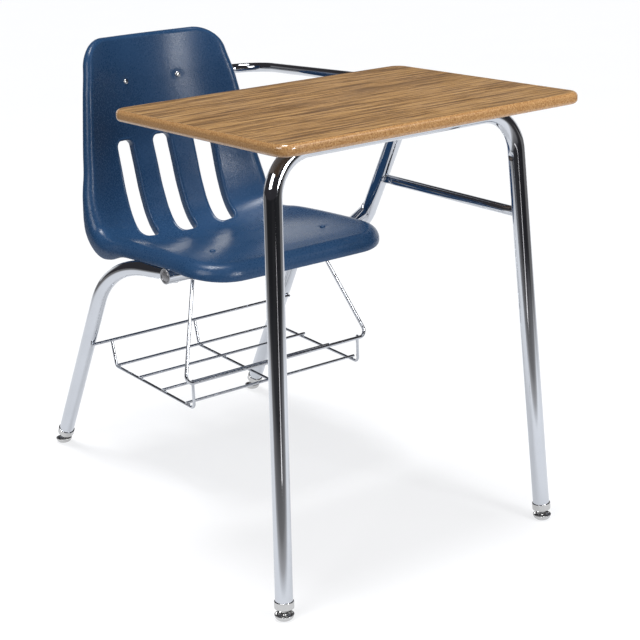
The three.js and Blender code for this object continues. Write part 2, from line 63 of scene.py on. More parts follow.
# ---- dimensions, the same as the solids ----
GAP = 0.3
DESK = dict(x=609.6, y=457.2, t=19.0, top=762.0, edge=7.0, corner=26.0)
TUBE_R, TUBE_WALL = 14.3, 1.7
RAIL_R, BRACE_R, THIN_WALL = 8.7, 9.5, 1.4
SEAT_X, REAR_HALF, REAR_SPLAY = 85.0, 232.5, 3.5
REAR_RAKE = math.radians(28.3)
BALL_Z, REAR_FOOT_Y, KNEE_Z = 6.5, 758.9, 418.0
FRONT_FOOT = (284.7, -159.7)
FRONT_TOP = (246.9, -125.5, DESK["top"] - DESK["t"] - GAP - TUBE_R)
CROSS_END, ARM_LOW, ARM_TOP = V(-134, 366, 422), V(344.7, 397, 412), V(286.7, 177.5, 712)
SHELL_T = 4.5
SHELL_ROWS = np.array([
    [258, 455, 190, 1, 3.5, 23, 6],
    [295, 458.5, 192, 3, 3.5, 24, 3],
    [350, 460.5, 193, 7, 3.5, 23.5, 1],
    [400, 460, 193, 12, 3.5, 23.5, 1],
    [460, 458.5, 193, 20, 3.4, 24, 1],
    [520, 455.5, 193, 26, 3.2, 24, 4],
    [565, 450.5, 193, 29, 3, 23, 13],
    [592, 451.5, 193.5, 30, 2.8, 21.5, 17],
    [614, 463, 194, 31, 2.6, 20, 16],
    [626, 482, 195, 33, 2.5, 18, 12],
    [634, 502, 195, 34, 2.4, 16, 7],
    [641, 525, 192, 36, 2.3, 15, 5],
    [648, 560, 186, 39, 2.3, 13, 5],
    [655, 600, 181, 44, 2.3, 12, 5],
    [664, 655, 172, 46, 2.3, 12, 4],
    [675, 717, 162, 46, 2.3, 11, 4],
    [684, 752, 154, 42, 2.3, 11, 4],
    [699, 804, 147, 35, 2.3, 10, 3],
])
# the columns of a row after y and z: half width, dish depth, dish power, lip radius, skirt below the lip
HALF_WIDTH, DISH, DISH_POWER, LIP, SKIRT = 2, 3, 4, 5, 6
BEND_ROW = 8
FRONT_CORNER, TOP_CORNER, TOP_CROWN, CROWN_REACH = 56.0, 44.0, 6.0, 120.0
SLOT_X, SLOT_SHIFT, SLOT_HALF, SLOT_CORNER = 90.0, 4.0, 20.0, 12.0
SLOT_RISE, SLOT_TOP_Z = 10.0, 605.5
FLANGE_T, FLANGE_DEPTH = 2.8, 17.0
# points of the shell that are closer than this are merged, in metres
WELD_DISTANCE = 2e-5
BACK_RIVET_X, BACK_RIVET_Z = 60.0, 715.0
SEAT_RIVET_X, SEAT_RIVET_S = 126.0, 90.0
RIVET_R, PIT_R = 2.4, 11.0
FRONT_BEND = 72.0
# level direction from the camera into the picture, used by the floor and the surroundings
AWAY = (0.611, 0.792)


# ---- node helpers for materials ----
class Nodes:
    """Short calls that add nodes to one node tree."""

    def __init__(self, tree):
        self.tree = tree
        self.coord = tree.nodes.new("ShaderNodeTexCoord")

    def node(self, kind, **values):
        made = self.tree.nodes.new(kind)
        for key, value in values.items():
            if hasattr(made, key):
                setattr(made, key, value)
            else:
                made.inputs[key.replace("_", " ")].default_value = value
        return made

    def link(self, a, b):
        self.tree.links.new(a, b)

    def stretched(self, scale):
        mapping = self.node("ShaderNodeMapping")
        mapping.inputs["Scale"].default_value = scale
        self.link(self.coord.outputs["Object"], mapping.inputs["Vector"])
        return mapping.outputs["Vector"]

    def noise(self, scale, detail=4.0, roughness=0.55, vector=None, distortion=0.0):
        made = self.node("ShaderNodeTexNoise")
        made.inputs["Scale"].default_value = scale
        made.inputs["Detail"].default_value = detail
        made.inputs["Roughness"].default_value = roughness
        made.inputs["Distortion"].default_value = distortion
        self.link(vector or self.coord.outputs["Object"], made.inputs["Vector"])
        return made.outputs["Fac"]

    def ramp(self, fac, stops):
        made = self.node("ShaderNodeValToRGB")
        ramp = made.color_ramp
        while len(ramp.elements) < len(stops):
            ramp.elements.new(0.5)
        for element, (position, color) in zip(ramp.elements, stops):
            element.position = position
            element.color = (*color, 1.0) if len(color) == 3 else color
        self.link(fac, made.inputs["Fac"])
        return made.outputs["Color"]

    def span(self, fac, low, high, to_low=0.0, to_high=1.0):
        made = self.node("ShaderNodeMapRange")
        for key, value in (("From Min", low), ("From Max", high), ("To Min", to_low), ("To Max", to_high)):
            made.inputs[key].default_value = value
        self.link(fac, made.inputs["Value"])
        return made.outputs["Result"]

    def step(self, value, low, high):
        """A smooth step from 0 at low to 1 at high."""
        made = self.node("ShaderNodeMapRange", interpolation_type="SMOOTHSTEP")
        made.inputs["From Min"].default_value = low
        made.inputs["From Max"].default_value = high
        self.link(value, made.inputs["Value"])
        return made.outputs["Result"]

    def axes(self, output):
        """The three parts of a texture coordinate."""
        split = self.node("ShaderNodeSeparateXYZ")
        self.link(self.coord.outputs[output], split.inputs["Vector"])
        return split.outputs

    def along(self, axes, x, y):
        """How far a place lies along the level direction (x, y)."""
        return self.math("ADD", self.math("MULTIPLY", axes["X"], x), self.math("MULTIPLY", axes["Y"], y))

    def seen(self):
        """1 for what the camera sees itself, 0 for what is mirrored or lights the object."""
        return self.node("ShaderNodeLightPath").outputs["Is Camera Ray"]

    def math(self, operation, a, b):
        made = self.node("ShaderNodeMath", operation=operation)
        for k, value in enumerate((a, b)):
            if isinstance(value, (int, float)):
                made.inputs[k].default_value = value
            else:
                self.link(value, made.inputs[k])
        return made.outputs["Value"]

    def mix(self, fac, a, b, blend="MIX"):
        made = self.node("ShaderNodeMix", data_type="RGBA", blend_type=blend)
        for key, value in ((0, fac), (6, a), (7, b)):
            if isinstance(value, (int, float)):
                made.inputs[key].default_value = value
            elif isinstance(value, tuple):
                made.inputs[key].default_value = (*value, 1.0)
            else:
                self.link(value, made.inputs[key])
        return made.outputs[2]

    def attribute(self, name):
        made = self.node("ShaderNodeAttribute", attribute_name=name)
        return made.outputs["Fac"]

    def bump(self, height, strength, distance, normal=None):
        made = self.node("ShaderNodeBump")
        made.inputs["Strength"].default_value = strength
        made.inputs["Distance"].default_value = distance
        self.link(height, made.inputs["Height"])
        if normal is not None:
            self.link(normal, made.inputs["Normal"])
        return made.outputs["Normal"]


class Shader(Nodes):
    """A material with one Principled shader."""

    def __init__(self, name):
        self.material = bpy.data.materials.new(name)
        self.material.use_nodes = True
        super().__init__(self.material.node_tree)
        self.bsdf = self.tree.nodes["Principled BSDF"]

    def set(self, name, value):
        socket = self.bsdf.inputs[name]
        if isinstance(value, (int, float)):
            socket.default_value = value
        elif isinstance(value, tuple):
            socket.default_value = (*value, 1.0)
        else:
            self.link(value, socket)


def metal(name, color, rough, smudge, grain, grain_scale):
    m = Shader(name)
    broad = m.noise(9.0, 5.0, 0.6)
    fine = m.noise(grain_scale, 3.0, 0.6, m.stretched((1.0, 1.0, 0.12)))
    specks = m.noise(2600.0, 2.0, 0.5)
    tint = m.mix(m.span(broad, 0.35, 0.7), color, tuple(c * 0.93 for c in color))
    m.set("Base Color", tint)
    m.set("Metallic", 1.0)
    m.set("Roughness", m.math("ADD", m.span(broad, 0.35, 0.75, rough, rough + smudge),
                              m.span(fine, 0.4, 0.8, 0.0, smudge)))
    first = m.bump(fine, grain, 0.00012)
    m.set("Normal", m.bump(specks, grain * 0.5, 0.00005, first))
    return m.material


CHROME = metal("chrome_tube", (0.56, 0.585, 0.63), 0.045, 0.03, 0.010, 700.0)
WIRE_CHROME = metal("chrome_wire", (0.50, 0.52, 0.56), 0.14, 0.05, 0.04, 900.0)
NICKEL = metal("nickel_glide", (0.54, 0.54, 0.54), 0.15, 0.10, 0.10, 1500.0)
WELD = metal("chrome_weld", (0.50, 0.51, 0.54), 0.16, 0.12, 0.6, 900.0)


def plastic_material():
    m = Shader("navy_shell")
    pebble = m.noise(340.0, 2.0, 0.55)
    fine = m.noise(1500.0, 2.0, 0.5)
    broad = m.noise(7.0, 4.0, 0.6)
    scuff = m.noise(60.0, 6.0, 0.7, m.stretched((1.0, 0.18, 0.18)), 0.4)
    base = m.mix(m.span(broad, 0.3, 0.7), (0.0155, 0.050, 0.119), (0.0205, 0.060, 0.140))
    base = m.mix(m.span(pebble, 0.52, 0.72, 0.0, 0.45), base, (0.047, 0.106, 0.21))
    base = m.mix(m.span(scuff, 0.66, 0.80, 0.0, 0.22), base, (0.075, 0.135, 0.25))
    m.set("Base Color", base)
    m.set("Roughness", m.math("ADD", m.span(broad, 0.3, 0.7, 0.22, 0.28),
                              m.span(pebble, 0.3, 0.7, 0.0, 0.08)))
    m.set("Specular IOR Level", 0.3)
    first = m.bump(pebble, 0.6, 0.0004)
    m.set("Normal", m.bump(fine, 0.25, 0.00008, first))
    return m.material


def laminate_material():
    m = Shader("oak_laminate")
    bands = m.noise(1.0, 4.0, 0.6, m.stretched((1.3, 22.0, 8.0)), 0.3)
    streaks = m.noise(1.0, 5.0, 0.74, m.stretched((4.6, 118.0, 20.0)), 0.9)
    dashes = m.noise(1.0, 3.0, 0.6, m.stretched((9.0, 225.0, 30.0)), 0.5)
    pores = m.noise(1.0, 3.0, 0.5, m.stretched((60.0, 1500.0, 40.0)))
    oak = m.ramp(streaks, [(0.38, (0.085, 0.036, 0.010)), (0.46, (0.20, 0.104, 0.034)),
                           (0.51, (0.345, 0.191, 0.068)), (0.59, (0.44, 0.254, 0.095)),
                           (0.70, (0.50, 0.30, 0.118))])
    oak = m.mix(m.span(bands, 0.40, 0.66, 0.0, 0.35), oak, (0.46, 0.266, 0.098))
    oak = m.mix(m.span(dashes, 0.53, 0.60, 0.0, 0.80), oak, (0.095, 0.042, 0.011))
    oak = m.mix(m.span(pores, 0.56, 0.70, 0.0, 0.4), oak, (0.085, 0.045, 0.02))
    speck = m.noise(430.0, 3.0, 0.6)
    coarse = m.noise(330.0, 3.0, 0.6)
    edge = m.ramp(speck, [(0.34, (0.27, 0.135, 0.050)), (0.46, (0.40, 0.214, 0.083)),
                          (0.56, (0.47, 0.27, 0.114)), (0.70, (0.56, 0.35, 0.165))])
    edge = m.mix(m.span(coarse, 0.35, 0.65, 0.0, 0.35), edge, (0.28, 0.145, 0.056))
    wander = m.math("ADD", m.attribute("roll"), m.span(m.noise(260.0, 3.0), 0.3, 0.7, -0.16, 0.16))
    color = m.mix(m.span(wander, 0.30, 0.62), oak, edge)
    backing = m.ramp(speck, [(0.35, (0.09, 0.052, 0.028)), (0.7, (0.16, 0.10, 0.06))])
    m.set("Base Color", m.mix(m.attribute("under"), color, backing))
    wear = m.noise(14.0, 6.0, 0.65)
    top_rough = m.math("ADD", m.span(wear, 0.35, 0.7, 0.40, 0.48), m.span(pores, 0.4, 0.7, 0.0, 0.08))
    m.set("Roughness", m.math("SUBTRACT", top_rough, m.span(wander, 0.3, 0.7, 0.0, 0.26)))
    m.set("Specular IOR Level", m.span(wander, 0.3, 0.7, 0.05, 0.8))
    flat = m.span(wander, 0.15, 0.45, 1.0, 0.0)
    first = m.bump(m.math("MULTIPLY", streaks, flat), 0.10, 0.0002)
    second = m.bump(m.math("MULTIPLY", pores, flat), 0.12, 0.00008, first)
    m.set("Normal", m.bump(m.noise(700.0, 3.0), 0.12, 0.00015, second))
    return m.material


def cap_material():
    m = Shader("grey_cap")
    speck = m.noise(1300.0, 3.0, 0.6)
    broad = m.noise(60.0, 4.0, 0.6)
    m.set("Base Color", m.mix(m.span(broad, 0.3, 0.7), (0.22, 0.22, 0.235), (0.30, 0.30, 0.315)))
    m.set("Metallic", 0.6)
    m.set("Roughness", m.span(speck, 0.3, 0.7, 0.2, 0.34))
    m.set("Normal", m.bump(speck, 0.25, 0.0001))
    return m.material


PLASTIC = plastic_material()
LAMINATE = laminate_material()
CAP = cap_material()
SLOT_OF = {CHROME: "tube_chrome", WIRE_CHROME: "wire_chrome", NICKEL: "nickel", WELD: "tube_chrome",
           PLASTIC: "shell_plastic", LAMINATE: "laminate_top", CAP: "end_cap"}


# ---- mesh helpers ----
def place(name, points, faces, material, nodes=(), body="frame", sharp=None, attributes=None, weld=0.0,
          slot=None):
    """One visible piece: its mesh, its material, the body it rides and the CAD nodes it stands for."""
    slot = slot or SLOT_OF[material]
    mesh = bpy.data.meshes.new(name)
    mesh.from_pydata(to_row(points).tolist(), [], faces)
    if weld:
        work = bmesh.new()
        work.from_mesh(mesh)
        bmesh.ops.remove_doubles(work, verts=work.verts, dist=weld)
        work.to_mesh(mesh)
        work.free()
    for key, values in (attributes or {}).items():
        made = mesh.attributes.new(key, "FLOAT", "POINT")
        made.data.foreach_set("value", np.asarray(values, np.float32))
    mesh.materials.append(material)
    mesh.shade_smooth()
    if sharp is not None:
        mesh.set_sharp_from_angle(angle=math.radians(sharp))
    obj = bpy.data.objects.new(name, mesh)
    bpy.context.scene.collection.objects.link(obj)
    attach(obj, body)
    if nodes:
        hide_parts(*nodes)
    return obj


class BentPath:
    """Stations and tangents through corner points, with a bend radius at each inner corner."""

    def __init__(self, corners, radii, steps=24):
        self.points, self.tangents = [], []
        corners = [np.asarray(c, float) for c in corners]
        for i, corner in enumerate(corners):
            before = unit(corner - corners[i - 1]) if i else None
            after = unit(corners[i + 1] - corner) if i < len(corners) - 1 else None
            if before is None or after is None:
                self.points.append(corner)
                self.tangents.append(after if before is None else before)
                continue
            angle = math.acos(min(1.0, float(before @ after)))
            radius = radii[i - 1]
            start = corner - before * radius * math.tan(angle / 2)
            side = unit(after - before * (after @ before))
            for k in range(steps + 1):
                t = angle * k / steps
                self.points.append(start + before * radius * math.sin(t) + side * radius * (1 - math.cos(t)))
                self.tangents.append(before * math.cos(t) + side * math.sin(t))

    def refine(self, spacing):
        points, tangents = [self.points[0]], [self.tangents[0]]
        for k in range(1, len(self.points)):
            a, b = self.points[k - 1], self.points[k]
            n = max(1, int(np.linalg.norm(b - a) / spacing))
            for j in range(1, n + 1):
                points.append(a + (b - a) * j / n)
                tangents.append(unit(self.tangents[k - 1] * (1 - j / n) + self.tangents[k] * j / n))
        self.points, self.tangents = points, tangents
        return self

    def frames(self):
        first = self.tangents[0]
        up = V(0, 0, 1) if abs(first[2]) < 0.9 else V(1, 0, 0)
        u = unit(np.cross(first, up))
        result = []
        for t in self.tangents:
            u = unit(u - t * (u @ t))
            result.append((u, np.cross(t, u)))
        return result


def square_axes(axis):
    """Two directions square to an axis and to each other."""
    up = V(0, 0, 1) if abs(axis[2]) < 0.9 else V(1, 0, 0)
    u = unit(np.cross(up, axis))
    return u, np.cross(axis, u)


def end_rings(point, inward, frame_here, radius, rounding, steps=4):
    """Rings that round off one end of a wire, from its tip inwards."""
    rings = []
    for k in range(steps):
        t = math.pi / 2 * k / steps
        rings.append((point + inward * rounding * (1 - math.sin(t)), frame_here,
                      radius - rounding * (1 - math.cos(math.pi / 2 - t))))
    rings.append((point + inward * rounding, frame_here, radius))
    return rings


BORE_DEPTH = 14.0


def tube_mesh(path, radius, wall=0.0, sides=48, round_end=0.0):
    """Points and faces of a swept tube, open for a short way at its ends, or of a solid wire if wall is 0."""
    stations = list(zip(path.points, path.tangents, path.frames()))
    first, last = stations[0], stations[-1]
    rings = [(point, f, radius) for point, _, f in stations]
    if round_end:
        rings[:1] = end_rings(first[0], first[1], first[2], radius, round_end)
        rings[-1:] = end_rings(last[0], -last[1], last[2], radius, round_end)[::-1]
    angle = 2 * np.pi * (np.arange(sides) + 0.5) / sides
    points, faces = [], []
    for centre, (u, v), r in rings:
        points.extend(centre + r * (np.outer(np.cos(angle), u) + np.outer(np.sin(angle), v)))
    n = len(rings)
    for j in range(n - 1):
        for k in range(sides):
            q = (k + 1) % sides
            faces.append((j * sides + k, j * sides + q, (j + 1) * sides + q, (j + 1) * sides + k))
    if wall:
        inner = radius - wall
        base = len(points)
        for centre, (u, v), _ in (rings[0], rings[-1]):
            for depth in (0.0, BORE_DEPTH):
                way = first[1] if centre is rings[0][0] else -last[1]
                points.extend(centre + way * depth
                              + inner * (np.outer(np.cos(angle), u) + np.outer(np.sin(angle), v)))
        outer = (0, (n - 1) * sides)
        for e in range(2):
            a, b, c = outer[e], base + 2 * e * sides, base + (2 * e + 1) * sides
            for k in range(sides):
                q = (k + 1) % sides
                ring = (a + k, b + k, b + q, a + q)
                bore = (b + k, c + k, c + q, b + q)
                faces.append(ring if e == 0 else ring[::-1])
                faces.append(bore if e == 0 else bore[::-1])
    else:
        faces.append(tuple(range(sides))[::-1])
        faces.append(tuple(range((n - 1) * sides, n * sides)))
    return np.array(points), faces


def filleted(profile, radius, steps=5):
    """Rounds the corners of a profile given as (radius, height) pairs."""
    pts = [np.array(p, float) for p in profile]
    result = [pts[0]]
    for i in range(1, len(pts) - 1):
        a, b = pts[i - 1] - pts[i], pts[i + 1] - pts[i]
        la, lb = np.linalg.norm(a), np.linalg.norm(b)
        cosine = float(a @ b) / (la * lb)
        if la < 1e-6 or lb < 1e-6 or cosine < -0.985 or pts[i][0] < 0.01:
            result.append(pts[i])
            continue
        reach = min(radius, la * 0.45, lb * 0.45)
        p, q = pts[i] + a / la * reach, pts[i] + b / lb * reach
        for k in range(steps + 1):
            t = k / steps
            result.append(p * (1 - t) ** 2 + pts[i] * 2 * t * (1 - t) + q * t * t)
    result.append(pts[-1])
    return result


def lathe_mesh(profile, origin, axis, sides=64):
    """Points and faces of a profile, given as (radius, height) pairs, turned about an axis."""
    axis = unit(np.asarray(axis, float))
    u, v = square_axes(axis)
    angle = 2 * np.pi * np.arange(sides) / sides
    points, starts, faces = [], [], []
    for r, h in profile:
        starts.append((len(points), r < 1e-6))
        if r < 1e-6:
            points.append(origin + axis * h)
        else:
            points.extend(origin + axis * h + r * (np.outer(np.cos(angle), u) + np.outer(np.sin(angle), v)))
    for (a, pole_a), (b, pole_b) in zip(starts, starts[1:]):
        for k in range(sides):
            q = (k + 1) % sides
            if pole_a and pole_b:
                continue
            if pole_a:
                faces.append((a, b + q, b + k))
            elif pole_b:
                faces.append((a + k, a + q, b))
            else:
                faces.append((a + k, a + q, b + q, b + k))
    return np.array(points), faces


def join(parts):
    points, faces, base = [], [], 0
    for p, f in parts:
        points.append(np.asarray(p))
        faces.extend(tuple(i + base for i in face) for face in f)
        base += len(p)
    return np.vstack(points), faces


def ripple(points, amount, wavelength, seed):
    """Small smooth displacement, for weld metal."""
    r = np.random.RandomState(seed)
    moved = np.array(points, float)
    for _ in range(6):
        k = r.normal(size=3)
        k *= 2 * np.pi / (wavelength * r.uniform(0.7, 1.6)) / np.linalg.norm(k)
        direction = unit(r.normal(size=3))
        moved += amount / 2.5 * np.sin(np.asarray(points) @ k + r.uniform(0, 6.28))[:, None] * direction
    return moved


def distance_to_path(points, line):
    """Distance from each point to a polyline."""
    best = np.full(len(points), 1e9)
    for a, b in zip(line, line[1:]):
        d = b - a
        t = np.clip((points - a) @ d / (d @ d), 0, 1)
        best = np.minimum(best, np.linalg.norm(points - (a + t[:, None] * d), axis=1))
    return best


def weld_ring(a0, a1, radius, other, other_radius, bead, seed):
    """Weld bead along the line where a tube running from a0 to a1 enters another tube."""
    axis = unit(a1 - a0)
    u, v = square_axes(axis)
    length = np.linalg.norm(a1 - a0) * 1.25
    t = np.linspace(0, length, 600)
    loop = []
    for angle in np.linspace(0, 2 * np.pi, 72, endpoint=False):
        off = radius * (math.cos(angle) * u + math.sin(angle) * v)
        points = a0 + off + t[:, None] * axis
        gap = distance_to_path(points, other) - other_radius
        hit = np.argmax(gap < 0) if (gap < 0).any() else int(np.argmin(gap))
        loop.append(points[hit])
    loop = np.array(loop)
    for _ in range(2):
        loop = (np.roll(loop, 1, 0) + loop * 2 + np.roll(loop, -1, 0)) / 4
    points, faces = [], []
    n, sides = len(loop), 12
    centre = loop.mean(0)
    for k in range(n):
        tangent = unit(loop[(k + 1) % n] - loop[k - 1])
        out = loop[k] - centre
        out = unit(out - tangent * (out @ tangent))
        other_way = np.cross(tangent, out)
        size = bead * (1 + 0.13 * math.sin(k * 2 * np.pi * 9 / n))
        for j in range(sides):
            a = 2 * np.pi * j / sides
            points.append(loop[k] + size * (math.cos(a) * out + math.sin(a) * other_way))
    for k in range(n):
        for j in range(sides):
            q, m = (j + 1) % sides, (k + 1) % n
            faces.append((k * sides + j, m * sides + j, m * sides + q, k * sides + q))
    return ripple(points, bead * 0.22, bead * 3.0, seed), faces


def blob(centre, radii, seed):
    """Small lump of weld metal."""
    rows, sides = 10, 16
    points, faces = [V(0, 0, 1)], []
    for j in range(1, rows):
        t = math.pi * j / rows
        for k in range(sides):
            a = 2 * math.pi * k / sides
            points.append(V(math.sin(t) * math.cos(a), math.sin(t) * math.sin(a), math.cos(t)))
    points.append(V(0, 0, -1))
    for k in range(sides):
        q = (k + 1) % sides
        faces.append((0, 1 + k, 1 + q))
        last = 1 + (rows - 2) * sides
        faces.append((len(points) - 1, last + q, last + k))
        for j in range(rows - 2):
            a, b = 1 + j * sides, 1 + (j + 1) * sides
            faces.append((a + k, b + k, b + q, a + q))
    points = np.array(points) * np.array(radii)
    return ripple(points, min(radii) * 0.25, min(radii) * 3, seed) + centre, faces


# ---- writing surface ----
def desk_loop(inset):
    """Rounded rectangle, counter-clockwise, the same number of points at every inset."""
    w, d, r = DESK["x"] / 2 - inset, DESK["y"] / 2 - inset, DESK["corner"] - inset
    r = max(r, 2.0)
    points = []
    corners = [(w - r, -d + r, -90), (w - r, d - r, 0), (-w + r, d - r, 90), (-w + r, -d + r, 180)]
    for i, (x, y, start) in enumerate(corners):
        turns = [math.radians(start + 90 * k / 16) for k in range(17)]
        arc = [(x + r * math.cos(t), y + r * math.sin(t)) for t in turns]
        points.extend(arc)
        nx, ny, nstart = corners[(i + 1) % 4]
        end = (nx + r * math.cos(math.radians(nstart)), ny + r * math.sin(math.radians(nstart)))
        ax, ay = arc[-1]
        points.extend((ax + (end[0] - ax) * k / 30, ay + (end[1] - ay) * k / 30) for k in range(1, 30))
    return np.array(points)


def build_desk():
    e, top, low = DESK["edge"], DESK["top"], DESK["top"] - DESK["t"]
    rings = [(16, top, 0.0, 0), (12, top, 0.0, 0), (9, top, 0.08, 0), (e, top, 0.22, 0)]
    for k in range(1, 13):
        t = math.pi / 2 * k / 12
        rings.append((e - e * math.sin(t), top - e * (1 - math.cos(t)), 0.22 + 0.78 * min(1, k / 5), 0))
    for k in range(0, 13):
        t = math.pi / 2 * k / 12
        rings.append((e - e * math.cos(t), low + e * (1 - math.sin(t)), 1.0, 0.0 if k < 9 else (k - 8) / 4))
    rings.append((12, low, 1.0, 1.0))
    points, roll, under = [], [], []
    for inset, z, r, w in rings:
        loop = desk_loop(inset)
        points.extend(np.column_stack([loop, np.full(len(loop), z)]))
        roll.extend([r] * len(loop))
        under.extend([w] * len(loop))
    n = len(desk_loop(0))
    faces = [tuple(range(n))]
    for j in range(len(rings) - 1):
        for k in range(n):
            q = (k + 1) % n
            faces.append((j * n + k, (j + 1) * n + k, (j + 1) * n + q, j * n + q))
    faces.append(tuple(range((len(rings) - 1) * n, len(rings) * n))[::-1])
    place("writing_top", points, faces, LAMINATE, ["work_surface"],
          attributes={"roll": roll, "under": under})


# ---- tubes ----
def front_ball(side):
    return V(side * FRONT_FOOT[0], FRONT_FOOT[1], BALL_Z)


def front_corner(side):
    return V(side * FRONT_TOP[0], FRONT_TOP[1], FRONT_TOP[2])


def front_axis(side):
    return unit(front_corner(side) - front_ball(side))


def rear_line(side, z):
    splay = REAR_SPLAY * (1 - (z - BALL_Z) / (KNEE_Z - BALL_Z))
    return V(SEAT_X + side * (REAR_HALF + splay), REAR_FOOT_Y - (z - BALL_Z) * math.tan(REAR_RAKE), z)


def cross_at(x):
    return CROSS_END + (ARM_LOW - CROSS_END) * (x - CROSS_END[0]) / (ARM_LOW[0] - CROSS_END[0])


def arm_at(z):
    return ARM_LOW + (ARM_TOP - ARM_LOW) * (z - ARM_LOW[2]) / (ARM_TOP[2] - ARM_LOW[2])


def front_leg_at(side, z):
    a, b = front_ball(side), front_corner(side)
    return a + (b - a) * (z - BALL_Z) / (FRONT_TOP[2] - BALL_Z)


FRONT_REACH, REAR_REACH = 12.5, 18.0


def hexagon(points, ball, axis, flange):
    """Trims the round flange of a stud to six flats, 10.6 mm across."""
    half_across = 5.3
    local = points - ball
    along = local @ axis
    radial = local - np.outer(along, axis)
    r = np.linalg.norm(radial, axis=1)
    u = unit(np.cross(V(1, 0, 0), axis))
    angle = np.arctan2(radial @ np.cross(axis, u), radial @ u)
    flat = half_across / np.cos((angle + np.pi / 6) % (np.pi / 3) - np.pi / 6)
    mask = (r > 5.5) & (along > flange - 0.5)
    moved = np.array(points)
    scale = np.minimum(flat, r)[mask, None]
    moved[mask] = ball + np.outer(along, axis)[mask] + radial[mask] / r[mask, None] * scale
    return moved


def build_glide(tag, ball, axis, reach):
    cup, bore = TUBE_R + GAP + 1.3, TUBE_R + GAP
    profile = filleted([(4.3, reach), (cup, reach), (cup, reach + 12.5), (bore, reach + 12.5),
                        (bore, reach + 1.6), (4.3, reach + 1.6), (4.3, reach)], 2.4, 8)
    place(f"glide_cup_{tag}_fine", *lathe_mesh(profile, ball, axis), NICKEL, [f"glide_cup_{tag}"], sharp=50)
    flange = reach - 5.8
    stud = filleted([(0, -4.5), (2.4, -3.8), (4, -2.1), (4.5, 0), (4, 2.1), (3, 3.4), (3, flange),
                     (6, flange), (6.3, flange + 1), (6.3, reach - GAP), (3.9, reach - GAP),
                     (3.9, reach + 13), (0, reach + 13)], 0.5, 3)
    points, faces = lathe_mesh(stud, ball, axis, 48)
    hexed = hexagon(points, ball, axis, flange)
    place(f"glide_stud_{tag}_fine", hexed, faces, NICKEL, [f"glide_stud_{tag}"], sharp=35)
    base = filleted([(0, 0), (7.5, 0), (11.4, 1.4), (14.2, 4.2), (15.6, 7.6), (15.75, 9.8), (14.8, 9.8),
                     (13.7, 6.6), (11, 4.2), (7.6, 3.4), (7.2, 6.8), (5, 6.8), (5, 1.6), (0, 1.6)], 1.2, 6)
    foot = lathe_mesh(base, V(ball[0], ball[1], 0), V(0, 0, 1))
    place(f"glide_base_{tag}_fine", *foot, NICKEL, [f"glide_base_{tag}"], body=f"glide_{tag}", sharp=50)


def front_end(side):
    return front_ball(side) + front_axis(side) * (FRONT_REACH + 2.2)


FRONT_CORNERS = [front_end(-1), front_corner(-1), front_corner(1), front_end(1)]
front_path = BentPath(FRONT_CORNERS, [FRONT_BEND] * 2)
support_path = BentPath([CROSS_END, ARM_LOW, ARM_TOP], [52])
brace_z = DESK["top"] - DESK["t"] - GAP - BRACE_R
BRACE = [V(285, -104, brace_z), V(287, 250, brace_z), V(352, 735, 706), V(-8, 737.6, 711)]
brace_path = BentPath(BRACE, [260, 70]).refine(3.0)


def dimple(points, at, direction, radius, depth):
    """Pushes a small round pit into a tube wall."""
    flat = np.linalg.norm(np.cross(points - at, direction), axis=1)
    near = (flat < radius) & (np.linalg.norm(points - at, axis=1) < radius * 3)
    share = np.clip(flat / radius, 0, 1)
    push = depth * (1 - share ** 2) ** 0.5
    moved = points.copy()
    moved[near] += direction * push[near, None]
    return moved


def build_front_legs():
    fine = BentPath(FRONT_CORNERS, [FRONT_BEND] * 2).refine(2.2)
    points, faces = tube_mesh(fine, TUBE_R, TUBE_WALL, 72)
    for side in (-1, 1):
        inward = V(-side, 0, 0)
        centre = front_leg_at(side, 652)
        points = dimple(points, centre + inward * TUBE_R, -inward, 5.6, 2.8)
    place("front_legs", points, faces, CHROME, ["front_leg_frame"], sharp=60)


